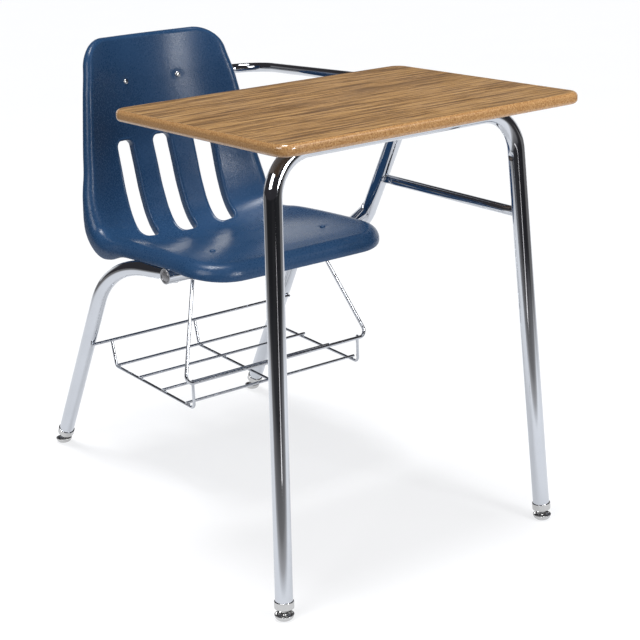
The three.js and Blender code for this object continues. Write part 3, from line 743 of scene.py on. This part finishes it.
def build_tubes():
    build_front_legs()
    arm = tube_mesh(support_path, TUBE_R, TUBE_WALL, 72)
    place("cross_and_arm", *arm, CHROME, ["support_tube"], sharp=60)
    inner = TUBE_R - TUBE_WALL - GAP
    cap = filleted([(0, -1.25), (4, -1.1), (8.2, -0.4), (9.2, 0.4), (10.2, 0.4), (inner - 1.0, -1.1),
                    (inner, -0.4), (inner, 8), (0, 8)], 0.7, 6)
    plug = lathe_mesh(cap, CROSS_END, ARM_LOW - CROSS_END)
    place("cross_tube_plug", *plug, CAP, ["support_tube_cap"], sharp=50)
    ends = {}
    right_top = [CROSS_END + (ARM_LOW - CROSS_END) * 0.055]
    left_top = [V(SEAT_X + REAR_HALF + 4, 408, 423), arm_at(468)]
    for tag, side, upper, radii in (("right", -1, right_top, [160]), ("left", 1, left_top, [160, 50])):
        ball = rear_line(side, BALL_Z)
        axis = unit(rear_line(side, KNEE_Z) - ball)
        foot = ball + axis * (REAR_REACH + 2.2)
        path = BentPath([foot, rear_line(side, KNEE_Z), *upper], radii)
        leg = tube_mesh(path, TUBE_R - 0.05, TUBE_WALL, 72)
        place(f"rear_leg_{tag}_fine", *leg, CHROME, [f"rear_leg_{tag}"], sharp=60)
        build_glide(f"rear_{tag}", ball, axis, REAR_REACH)
        ends[tag] = path.points[-2:]
    build_glide("front_right", front_ball(-1), front_axis(-1), FRONT_REACH)
    build_glide("front_left", front_ball(1), front_axis(1), FRONT_REACH)

    start, stop = arm_at(539.5), front_leg_at(1, 554)
    line = BentPath([start, stop], []).refine(3.0)
    points, faces = tube_mesh(line, RAIL_R, THIN_WALL, 56)
    along_dir = unit(stop - start)
    across = unit(V(1, 0, 0) - along_dir * along_dir[0])
    for end, inward, length, factor in ((start, along_dir, 56, 0.45), (stop, -along_dir, 44, 0.6)):
        along = (points - end) @ inward
        t = np.clip((along - length * 0.35) / (length * 0.65), 0, 1)
        t = t * t * (3 - 2 * t)
        squeeze = factor + (1 - factor) * t
        near = along < length
        off = (points - end) @ across
        points[near] += across * (off * (squeeze - 1))[near, None]
    place("side_rail_fine", points, faces, CHROME, ["side_rail"], sharp=60)

    place("back_brace_fine", *tube_mesh(brace_path, BRACE_R, THIN_WALL, 56), CHROME, ["back_brace"], sharp=60)
    r = BRACE_R - THIN_WALL - GAP
    for name, at, towards in (("front", BRACE[0], BRACE[1]), ("rear", BRACE[3], BRACE[2])):
        plug = filleted([(0, -2.3), (4, -2.2), (BRACE_R - 1.4, -1.5), (BRACE_R - 0.1, -GAP), (r, -GAP),
                         (r, 7), (0, 7)], 0.9, 6)
        place(f"brace_plug_{name}", *lathe_mesh(plug, at, towards - at), CAP,
              [f"back_brace_cap_{name}"], sharp=50)

    beads = [weld_ring(*ends["right"], TUBE_R, support_path.points, TUBE_R, 2.3, 3),
             weld_ring(*ends["left"], TUBE_R, support_path.points, TUBE_R, 2.2, 4),
             weld_ring(start + along_dir * 40, start, RAIL_R * 0.82, support_path.points, TUBE_R, 1.7, 5),
             weld_ring(stop - along_dir * 30, stop, RAIL_R * 0.88, front_path.points, TUBE_R, 1.5, 6),
             blob(ARM_TOP + V(0, -4, 11.4), (5.5, 9.0, 2.4), 7)]
    place("weld_beads", *join(beads), WELD)


# ---- seat shell ----
def crest_table():
    """Dense samples of the side-view curve through the shell rows."""
    knots = SHELL_ROWS[:, :2]
    ends = [2 * knots[0] - knots[1], *knots, 2 * knots[-1] - knots[-2]]
    samples, marks = [], [0]
    for i in range(len(knots) - 1):
        p0, p1, p2, p3 = ends[i], ends[i + 1], ends[i + 2], ends[i + 3]
        d0, d1, d2 = (np.linalg.norm(b - a) ** 0.5 for a, b in ((p0, p1), (p1, p2), (p2, p3)))
        m1 = ((p1 - p0) / d0 - (p2 - p0) / (d0 + d1) + (p2 - p1) / d1) * d1
        m2 = ((p2 - p1) / d1 - (p3 - p1) / (d1 + d2) + (p3 - p2) / d2) * d1
        t = np.linspace(0, 1, 61)[:, None]
        piece = (p1 + m1 * t + (-3 * p1 + 3 * p2 - 2 * m1 - m2) * t ** 2
                 + (2 * p1 - 2 * p2 + m1 + m2) * t ** 3)
        samples.extend(piece if i == 0 else piece[1:])
        marks.append(len(samples) - 1)
    samples = np.array(samples)
    s = np.concatenate([[0], np.cumsum(np.linalg.norm(np.diff(samples, axis=0), axis=1))])
    even = np.linspace(0, s[-1], 1600)
    y, z = np.interp(even, s, samples[:, 0]), np.interp(even, s, samples[:, 1])
    ty, tz = np.gradient(y, even), np.gradient(z, even)
    norm = np.hypot(ty, tz)
    return even, y, z, ty / norm, tz / norm, s[marks]


CREST_S, CREST_Y, CREST_Z, CREST_TY, CREST_TZ, ROW_S = crest_table()
CREST_LENGTH = CREST_S[-1]
ROW_SLOPES = np.gradient(SHELL_ROWS, ROW_S, axis=0)


def row_value(column, s):
    """Smooth curve through one column of the rows."""
    at = np.clip(s, 0, CREST_LENGTH)
    i = np.clip(np.searchsorted(ROW_S, at), 1, len(ROW_S) - 1)
    h = ROW_S[i] - ROW_S[i - 1]
    t = (at - ROW_S[i - 1]) / h
    a, b = SHELL_ROWS[i - 1, column], SHELL_ROWS[i, column]
    ma, mb = ROW_SLOPES[i - 1, column] * h, ROW_SLOPES[i, column] * h
    return ((2 * t ** 3 - 3 * t ** 2 + 1) * a + (t ** 3 - 2 * t ** 2 + t) * ma
            + (3 * t ** 2 - 2 * t ** 3) * b + (t ** 3 - t ** 2) * mb)


def corner_inset(distance, radius):
    x = np.clip(radius - distance, 0, radius)
    return radius - np.sqrt(np.maximum(0, radius * radius - x * x))


def half_width(s):
    corners = corner_inset(s, FRONT_CORNER), corner_inset(CREST_LENGTH - s, TOP_CORNER)
    return row_value(HALF_WIDTH, s) - corners[0] - corners[1]


SOFT_RIM = 0.035
# small dips round the rivets, as (s, a, radius, depth)
PITS = []


def dish(s, a):
    inward = np.maximum(0, 1 - np.abs(a) / row_value(HALF_WIDTH, s))
    inward = np.sqrt(inward ** 2 + SOFT_RIM ** 2) - SOFT_RIM
    return -row_value(DISH, s) * (1 - (1 - inward) ** row_value(DISH_POWER, s))


def crest(s):
    u = np.clip(s, 0, CREST_LENGTH)
    y, z = np.interp(u, CREST_S, CREST_Y), np.interp(u, CREST_S, CREST_Z)
    ty, tz = np.interp(u, CREST_S, CREST_TY), np.interp(u, CREST_S, CREST_TZ)
    extra = s - u
    return y + ty * extra, z + tz * extra, ty, tz


def shell_point(s, a, b):
    """Place on the shell: s along the side view from the front, a across, b out towards the sitter."""
    s, a, b = np.broadcast_arrays(np.asarray(s, float), np.asarray(a, float), np.asarray(b, float))
    t = np.clip((s - (CREST_LENGTH - CROWN_REACH)) / CROWN_REACH, 0, 1)
    top = t * t * (3 - 2 * t)
    share = a / row_value(HALF_WIDTH, s)
    crown = TOP_CROWN * top * np.minimum(1.2, share * share)
    y, z, ty, tz = crest(s)
    off = dish(s, a) + b
    for ps, pa, radius, depth in PITS:
        d = np.hypot(s - ps, a - pa) / radius
        off = off - depth * np.exp(-d ** 4)
    return np.stack([SEAT_X + a, y - tz * off - ty * crown, z + ty * off - tz * crown], -1)


def station_at_height(a, z, low, high):
    s = np.arange(low, high, 0.25)
    return float(s[np.argmin(np.abs(shell_point(s, np.full(len(s), a), 0)[:, 2] - z))])


def slot_ends():
    """Centre, low end and high end of each slot."""
    low = ROW_S[BEND_ROW - 1] + SLOT_RISE
    centres = [SLOT_SHIFT + k * SLOT_X for k in (-1, 0, 1)]
    return [(x, low, station_at_height(x, SLOT_TOP_Z, ROW_S[BEND_ROW], CREST_LENGTH)) for x in centres]


def slot_distance(s, a, slot):
    """Distance from the rectangle inside the slot's rounded corners, and the nearest point of it."""
    centre, low, high = slot
    flat = SLOT_HALF - SLOT_CORNER
    core_s = np.clip(s, low + SLOT_CORNER, high - SLOT_CORNER)
    core_a = np.clip(a, centre - flat, centre + flat)
    return np.hypot(s - core_s, a - core_a), core_s, core_a


def shell_grid():
    """Rows and columns in (s, a), denser at the rounded corners."""
    mid = np.arange(60, CREST_LENGTH - 50, 2.6)
    front = 60 * (1 - np.cos(np.linspace(0, np.pi / 2, 40)))[:-1]
    top = CREST_LENGTH - 50 * (1 - np.cos(np.linspace(0, np.pi / 2, 36)))[::-1]
    rows = np.unique(np.concatenate([front, mid, top[1:]]))
    rows = rows[np.concatenate([[True], np.diff(rows) > 0.015])]
    u = np.linspace(-1, 1, 161)
    eased = np.sign(u) * (1 - (1 - np.abs(u)) ** 1.12)
    S = np.repeat(rows[:, None], len(u), 1)
    A = eased[None, :] * half_width(rows)[:, None]
    return S, A


def trimmed_sheet(grow):
    """Grid whose cells inside each slot, grown by a margin, are removed, with the rim on the slot's line."""
    S, A = shell_grid()
    S, A = S.copy(), A.copy()
    n, m = S.shape
    keep = np.ones((n - 1, m - 1), bool)
    for slot in SLOTS:
        distance, core_s, core_a = slot_distance(S, A, slot)
        radius = SLOT_CORNER + grow
        inside = distance < radius
        any_outside = ~(inside[:-1, :-1] & inside[1:, :-1] & inside[:-1, 1:] & inside[1:, 1:])
        keep &= any_outside
        touched = np.zeros((n, m), bool)
        touched[:-1, :-1] |= any_outside
        touched[1:, :-1] |= any_outside
        touched[:-1, 1:] |= any_outside
        touched[1:, 1:] |= any_outside
        snap = inside & touched
        scale = radius / np.maximum(distance, 1e-6)
        S = np.where(snap, core_s + (S - core_s) * scale, S)
        A = np.where(snap, core_a + (A - core_a) * scale, A)
    return S, A, keep


def sheet_faces(keep, base, flip):
    n, m = keep.shape
    faces = []
    for j, i in np.argwhere(keep):
        a, b = base + j * (m + 1) + i, base + j * (m + 1) + i + 1
        c, d = b + m + 1, a + m + 1
        faces.append((a, d, c, b) if flip else (a, b, c, d))
    return faces


def rim_loop(faces, S, A, slot, grow):
    """Ordered rim of one slot, as vertex numbers."""
    flat_s, flat_a = S.ravel(), A.ravel()
    distance, _, _ = slot_distance(flat_s, flat_a, slot)
    on_rim = np.abs(distance - (SLOT_CORNER + grow)) < 1e-3
    count = {}
    for face in faces:
        for p, q in zip(face, face[1:] + face[:1]):
            if on_rim[p] and on_rim[q]:
                key = (min(p, q), max(p, q))
                count[key] = count.get(key, 0) + 1
    rim = sorted({v for key, c in count.items() if c == 1 for v in key},
                 key=lambda v: rim_position(flat_s[v], flat_a[v], slot))
    return rim


def rim_position(s, a, slot):
    """Angle round a slot, growing counter-clockwise seen from the sitter."""
    centre, low, high = slot
    up = (s - (low + high) / 2) * SLOT_HALF / (high - low)
    return math.atan2(up, (a - centre) * 0.5) % (2 * math.pi)


# the raised bead round each slot, as (distance from the slot's edge, height above the shell)
SLOT_BEAD = [(6.0, 0.0), (5.4, 0.12), (4.8, 0.38), (4.2, 0.66), (3.6, 0.86), (3.0, 0.92), (2.4, 0.82),
             (1.8, 0.5), (1.2, -0.05), (0.65, -0.85), (0.25, -1.8), (0.05, -2.9)]


def slot_wall():
    """The wall from the bead down into the slot, round its lower edge and up outside, as (offset, height)."""
    half = FLANGE_T / 2
    low = -FLANGE_DEPTH + half
    turns = [math.pi * k / 8 for k in range(1, 9)]
    inside = [(0.0, b) for b in (-6.0, -10.0, low)]
    edge = [(half * (1 - math.cos(t)), low - half * math.sin(t)) for t in turns]
    outside = [(FLANGE_T, -11.0), (FLANGE_T, -6.2), (FLANGE_T + 0.5, -5.0)]
    return SLOT_BEAD[1:] + inside + edge + outside


def stitch(first, first_turn, second, second_turn):
    """Triangles in step between two rims that have different points."""
    faces = []
    i = j = 0
    n, m = len(first), len(second)
    total = max(max(second_turn), max(first_turn)) + 1e6
    while i < n or j < m:
        next_i = first_turn[i + 1] if i + 1 < n else total + i
        next_j = second_turn[j + 1] if j + 1 < m else total + j
        if j >= m or (i < n and next_i <= next_j):
            faces.append((first[i % n], first[(i + 1) % n], second[j % m]))
            i += 1
        else:
            faces.append((first[i % n], second[(j + 1) % m], second[j % m]))
            j += 1
    return faces


def build_shell():
    S, A, keep = trimmed_sheet(SLOT_BEAD[0][0])
    front = shell_point(S, A, 0).reshape(-1, 3)
    faces = sheet_faces(keep, 0, False)
    points = [front]
    count = len(front)
    BS, BA, back_keep = trimmed_sheet(FLANGE_T + 1.6)
    back = shell_point(BS, BA, -SHELL_T).reshape(-1, 3)
    back_faces = sheet_faces(back_keep, count, True)
    base_back = count
    points.append(back)
    count += len(back)
    all_faces = faces + back_faces

    def add(block):
        nonlocal count
        points.append(np.asarray(block))
        start = count
        count += len(block)
        return list(range(start, count))

    def band(lower, upper):
        for k in range(len(lower)):
            q = (k + 1) % len(lower)
            all_faces.append((lower[k], lower[q], upper[q], upper[k]))

    flat = [tuple(v - base_back for v in f) for f in back_faces]
    for slot in SLOTS:
        rim = rim_loop(faces, S, A, slot, SLOT_BEAD[0][0])
        rim_s, rim_a = S.ravel()[rim], A.ravel()[rim]
        _, core_s, core_a = slot_distance(rim_s, rim_a, slot)
        direction = np.stack([rim_s - core_s, rim_a - core_a], -1)
        direction /= np.linalg.norm(direction, axis=1)[:, None]

        def ring(offset, b):
            s = core_s + direction[:, 0] * (SLOT_CORNER + offset)
            a = core_a + direction[:, 1] * (SLOT_CORNER + offset)
            return add(shell_point(s, a, b))

        previous = rim
        for offset, b in slot_wall():
            now = ring(offset, b)
            band(previous, now)
            previous = now
        back_rim = rim_loop(flat, BS, BA, slot, FLANGE_T + 1.6)
        spots = [rim_position(s, a, slot) for s, a in zip(BS.ravel()[back_rim], BA.ravel()[back_rim])]
        mine = [rim_position(s, a, slot) for s, a in zip(rim_s, rim_a)]
        all_faces.extend(stitch(previous, mine, [base_back + v for v in back_rim], spots))

    # outer lip
    n, m = S.shape
    loop = [(0, i) for i in range(m - 1)] + [(j, m - 1) for j in range(n - 1)]
    loop += [(n - 1, i) for i in range(m - 1, 0, -1)] + [(j, 0) for j in range(n - 1, 0, -1)]
    ls = np.array([S[p] for p in loop])
    la = np.array([A[p] for p in loop])
    da = np.roll(la, -3) - np.roll(la, 3)
    ds = np.roll(ls, -3) - np.roll(ls, 3)
    length = np.hypot(da, ds)
    out_s, out_a = -da / length, ds / length
    half = SHELL_T / 2
    radius, drop = row_value(LIP, ls), np.maximum(row_value(SKIRT, ls) - half, 0.3)
    _, _, ty, tz = crest(ls)

    def lip(r, t, fall):
        e = r * math.sin(t)
        b = -radius + r * math.cos(t) - fall
        p = shell_point(ls, la, b)
        p[:, 0] += out_a * e
        p[:, 1] += ty * out_s * e
        p[:, 2] += tz * out_s * e
        return p

    front_ids = [j * m + i for j, i in loop]
    back_ids = [base_back + v for v in front_ids]
    quarter = [math.pi / 2 * k / 12 for k in range(1, 13)]
    turns = [math.pi * k / 8 for k in range(1, 8)]
    right = math.pi / 2
    inner = radius - SHELL_T
    steps = [(radius, t, 0) for t in quarter] + [(radius, right, drop)]
    steps += [(radius - half + half * math.cos(t), right, drop + half * math.sin(t)) for t in turns]
    steps += [(inner, right, drop)] + [(inner, t, 0) for t in reversed(quarter)]
    previous = front_ids
    for step in steps:
        now = add(lip(*step))
        band(now, previous)
        previous = now
    band(back_ids, previous)
    merged = np.vstack(points)
    used = sorted({v for f in all_faces for v in f})
    number = {v: k for k, v in enumerate(used)}
    place("seat_shell_fine", merged[used], [tuple(number[v] for v in f) for f in all_faces], PLASTIC,
          ["seat_shell"], weld=WELD_DISTANCE)


def rivet_frame(s, a):
    p = shell_point(s, a, 0.0).reshape(3)
    ahead = shell_point(s + 2, a, 0.0).reshape(3) - p
    aside = shell_point(s, a + 2, 0.0).reshape(3) - p
    return p, unit(np.cross(aside, ahead))


def build_rivets():
    back_s = station_at_height(BACK_RIVET_X, BACK_RIVET_Z, ROW_S[BEND_ROW], CREST_LENGTH)
    low = -SHELL_T - GAP - 2.2
    tail = [(0, low - 2.4), (4.4, low - 2.4), (4.4, low - GAP), (RIVET_R, low - GAP)]
    end = [(0, -8.2), (RIVET_R, -8.2)]
    head = [(RIVET_R, -0.7), (5.6, -0.7), (5.5, 0.5), (4.6, 1.5), (3.0, 2.2), (1.4, 2.45), (0, 2.5)]
    pits = []
    for kind, s, x, foot, material, depth in (("back", back_s, BACK_RIVET_X, end, NICKEL, 0.9),
                                              ("seat", SEAT_RIVET_S, SEAT_RIVET_X, tail, PLASTIC, 0.7)):
        for tag, side in (("right", -1), ("left", 1)):
            point, normal = rivet_frame(s, side * x)
            rivet = lathe_mesh(filleted(foot + head, 0.4, 4), point, normal, 40)
            place(f"{kind}_rivet_{tag}_fine", *rivet, material, [f"{kind}_rivet_{tag}"], sharp=50)
            pits.append((s, side * x, PIT_R, depth))
    for tag in ("right", "left"):
        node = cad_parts[f"seat_saddle_{tag}"]
        node.data.materials.clear()
        node.data.materials.append(CHROME)
    PITS.extend(pits)


# ---- book basket ----
def build_basket():
    wires = dict(hanger=3.4, rear=2.9, cross=2.8, floor=2.75)
    half = 193.0
    rear_z = 240.5
    rear_y = rear_line(1, rear_z)[1] - (TUBE_R + GAP + wires["rear"]) / math.cos(REAR_RAKE)
    blobs = []

    def wire(name, corners, radii, r):
        path = BentPath(corners, radii, 14)
        place(f"{name}_fine", *tube_mesh(path, r, 0, 28, 0.7), WIRE_CHROME, [name], sharp=50)

    edge = REAR_HALF + 6
    rear_ends = [V(SEAT_X + side * edge, rear_y, rear_z) for side in (-1, 1)]
    wire("basket_wire_rear", rear_ends, [], wires["rear"])
    low = {side: V(SEAT_X + side * 213, 329, 225) for side in (-1, 1)}
    top = {side: cross_at(SEAT_X - 3 + side * 155) + V(0, 0, -TUBE_R - GAP - 1.5) for side in (-1, 1)}
    wire("basket_hanger", [top[-1], low[-1], low[1], top[1]], [13, 13], wires["hanger"])
    for side in (-1, 1):
        blobs.append(blob(top[side] + V(0, 0, 1.0), (5.0, 5.0, 2.6), 20 + side))
        near = rear_line(side, rear_z)
        blobs.append(blob(V(near[0], rear_y + 2.2, rear_z), (4.8, 2.6, 3.4), 30 + side))

    def floor_z(y):
        return 174 + (y - 344) * 0.062

    front_y = 329 + wires["hanger"] + GAP + wires["cross"]
    for k, tag in enumerate(("right", "middle", "left")):
        x = SEAT_X + (k - 1) * half
        wire(f"basket_wire_cross_{tag}", [
            V(x, rear_y, rear_z - wires["rear"] - GAP),
            V(x, rear_y - 11, floor_z(rear_y - 11)),
            V(x, front_y, floor_z(front_y)),
            V(x, front_y, 228)], [9, 9], wires["cross"])
        blobs.append(blob(V(x, rear_y, rear_z - wires["rear"]), (2.9, 2.9, 1.7), 40 + k))
        blobs.append(blob(V(x, 329 + wires["hanger"], 225), (2.8, 1.6, 3.0), 50 + k))
    for k, y in enumerate((591, 512, 433, 354)):
        z = floor_z(y) + wires["cross"] + GAP + wires["floor"]
        reach = half + 5
        floor_ends = [V(SEAT_X + side * reach, y, z) for side in (-1, 1)]
        wire(f"basket_wire_floor_{k + 1}", floor_ends, [], wires["floor"])
        for j in (-1, 0, 1):
            blobs.append(blob(V(SEAT_X + j * half, y, z - wires["floor"]), (2.7, 2.7, 1.3), 60 + 3 * k + j))
    place("basket_spot_welds", *join(blobs), WELD, slot="wire_chrome")


build_desk()
build_tubes()
build_rivets()
SLOTS = slot_ends()
build_shell()
build_basket()


# ---- floor, light and camera ----
def stage_plane(name, corners, material):
    mesh = bpy.data.meshes.new(name)
    mesh.from_pydata(corners, [], [tuple(range(len(corners)))])
    mesh.materials.append(material)
    obj = bpy.data.objects.new(name, mesh)
    bpy.context.scene.collection.objects.link(obj)
    return obj


def studio_floor():
    """Plain white paper to the camera; what the chrome mirrors falls off to dark away from the object."""
    m = Shader("floor_paper")
    place_on = m.axes("Object")
    ahead = m.along(place_on, -AWAY[0], -AWAY[1])
    aside = m.along(place_on, AWAY[1], -AWAY[0])
    aside = m.math("ABSOLUTE", m.math("SUBTRACT", aside, 0.09), 0.0)
    behind = m.math("MAXIMUM", m.math("MULTIPLY", ahead, -1.0), 0.0)
    aside = m.math("SUBTRACT", aside, m.math("MULTIPLY", behind, 0.23))
    front_fall = m.ramp(ahead, [(0.66, (1, 1, 1)), (0.80, (0.46, 0.46, 0.46)), (1.05, (0.2, 0.2, 0.2))])
    far_fall = m.span(ahead, 0.95, 1.9, 1.0, 0.06)
    side_fall = m.span(aside, 1.2, 2.2, 1.0, 0.2)
    white = m.math("MULTIPLY", m.math("MULTIPLY", front_fall, far_fall), side_fall)
    white = m.math("MAXIMUM", white, m.seen())
    soft = m.span(m.noise(2.0), 0.3, 0.7)
    lit = m.mix(soft, (0.275, 0.278, 0.286), (0.285, 0.288, 0.294))
    m.set("Base Color", m.mix(white, (0.02, 0.02, 0.022), lit))
    m.set("Roughness", 0.9)
    m.set("Specular IOR Level", 0.0)
    m.set("Emission Color", m.mix(m.span(white, 0.1, 0.8), (1.0, 0.93, 0.86), (0.985, 0.99, 1.0)))
    m.set("Emission Strength", m.math("MULTIPLY", white, 0.735))
    return m.material


stage_plane("floor", [(-14, -14, 0), (14, -14, 0), (14, 16, 0), (-14, 16, 0)], studio_floor())

world = bpy.data.worlds.new("studio")
bpy.context.scene.world = world
world.use_nodes = True
background = world.node_tree.nodes["Background"]
w = Nodes(world.node_tree)
# what the chrome mirrors: a white wall behind the object, and a dark room towards the camera and overhead
direction = w.axes("Generated")
low_band = w.math("SUBTRACT", 1.0, w.step(direction["Z"], 0.18, 0.36))
wall = w.math("MULTIPLY", w.step(w.along(direction, *AWAY), 0.45, 0.8), low_band)
# the camera itself sees plain white from every side
wall = w.math("MAXIMUM", wall, w.seen())
w.link(w.mix(wall, (0.045, 0.042, 0.046), (1.0, 1.0, 1.0)), background.inputs["Color"])
background.inputs["Strength"].default_value = 1.0


def aimed(obj, at, target):
    obj.location = at
    obj.rotation_euler = (Vector(target) - Vector(at)).to_track_quat("-Z", "Y").to_euler()


def softbox(name, at, target, width, height, power, color=(1.0, 1.0, 1.0)):
    data = bpy.data.lights.new(name, "AREA")
    data.shape = "RECTANGLE"
    data.size = width
    data.size_y = height
    data.energy = power
    data.color = color
    obj = bpy.data.objects.new(name, data)
    bpy.context.scene.collection.objects.link(obj)
    aimed(obj, at, target)
    return obj


sun_data = bpy.data.lights.new("overhead", "SUN")
sun_data.angle = math.radians(20.0)
sun_data.energy = 2.7
sun = bpy.data.objects.new("overhead", sun_data)
bpy.context.scene.collection.objects.link(sun)
aimed(sun, (-0.05, -0.02, 1.0), (0.0, 0.0, 0.0))
softbox("front_panel", (0.42, -2.5, 1.05), (0.05, 0.4, 0.7), 0.6, 0.8, 38.0)
softbox("left_panel", (-2.7, -0.9, 2.1), (0.0, 0.1, 0.5), 1.5, 1.5, 46.0)
softbox("right_panel", (1.5, -2.4, 2.6), (0.0, 0.1, 0.5), 1.2, 1.0, 10.0)
# a narrow lit strip just above the floor, to the camera's right, draws the long bright line down the legs
strip = softbox("floor_strip", (-1.03, -3.0, 0.02), (-1.03, -3.0, 1.0), 0.15, 3.8, 2.6, (1.0, 0.94, 0.92))
strip.rotation_euler = (math.pi, 0.0, math.radians(-14.0))

camera_data = bpy.data.cameras.new("camera")
camera_data.lens = 93.33
camera_data.sensor_width = 36.0
camera = bpy.data.objects.new("camera", camera_data)
bpy.context.scene.collection.objects.link(camera)
EYE = to_row(V(-1660.1, -2058.7, 1208.0))
# degrees: turn about the vertical from looking along +Y, tilt down, and roll
TURN, TILT, ROLL = -37.664, 17.091, -1.994
camera.matrix_world = (Matrix.Translation(EYE) @ Matrix.Rotation(math.radians(TURN), 4, "Z")
                       @ Matrix.Rotation(math.radians(90.0 - TILT), 4, "X")
                       @ Matrix.Rotation(math.radians(ROLL), 4, "Z"))
bpy.context.scene.camera = camera
bpy.context.scene.view_settings.view_transform = "Standard"
